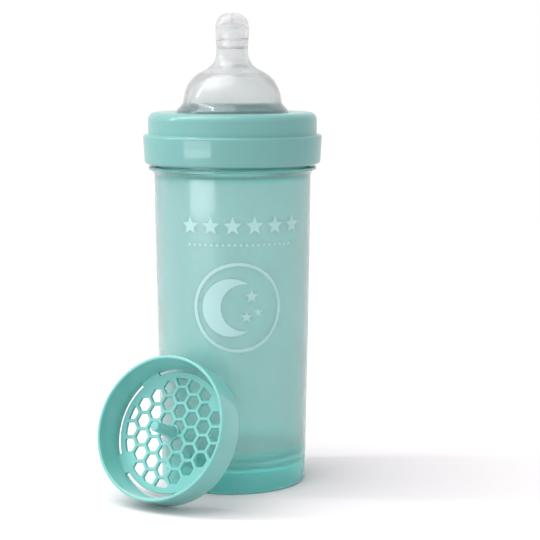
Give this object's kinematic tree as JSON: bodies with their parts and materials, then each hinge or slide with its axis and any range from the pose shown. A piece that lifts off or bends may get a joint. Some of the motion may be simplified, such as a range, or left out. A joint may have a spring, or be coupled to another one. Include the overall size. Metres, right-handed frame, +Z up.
{
  "type": "baby bottle",
  "caption": "Wide-necked feeding bottle with a screw collar, a soft teat and a loose mixer net that leans on it; the collar unscrews and lifts off with the teat.",
  "frame": {"origin": "on the bottle's axis, at the level of the foot that it stands on", "axes": "+Z up along the bottle's axis; the mixer leans on the front left, towards -X and -Y"},
  "size_m": [0.0857, 0.0955, 0.1833],
  "materials": {
    "bottle_plastic": "satin, translucent pastel teal",
    "collar_plastic": "satin, opaque pastel teal",
    "teat_silicone": "smooth, clear and slightly milky",
    "mixer_plastic": "satin, slightly translucent teal"
  },
  "bodies": {
    "bottle": {"bottle_body": "bottle_plastic"},
    "teat": {"teat": "teat_silicone"},
    "collar": {"collar": "collar_plastic"},
    "mixer": {"mixer_ring": "mixer_plastic", "mixer_net": "mixer_plastic", "mixer_post": "mixer_plastic"}
  },
  "joints": [
    {"name": "teat_lift", "type": "slide", "parent": "bottle", "child": "teat", "axis": [0, 0, 1], "range_m": [0, 0.018]},
    {"name": "collar_unscrew", "type": "hinge", "parent": "teat", "child": "collar", "pos_m": [0, 0, 0.1352], "axis": [0, 0, 1], "range_deg": [0, 1080]},
    {"name": "mixer_draw_off", "type": "slide", "parent": "bottle", "child": "mixer", "axis": [-0.4831, -0.7914, 0.3746], "range_m": [0, 0.08]}
  ],
  "couplings": [
    {"joint": "teat_lift", "follows": "collar_unscrew", "m_per_rad": 0.00095493}
  ]
}
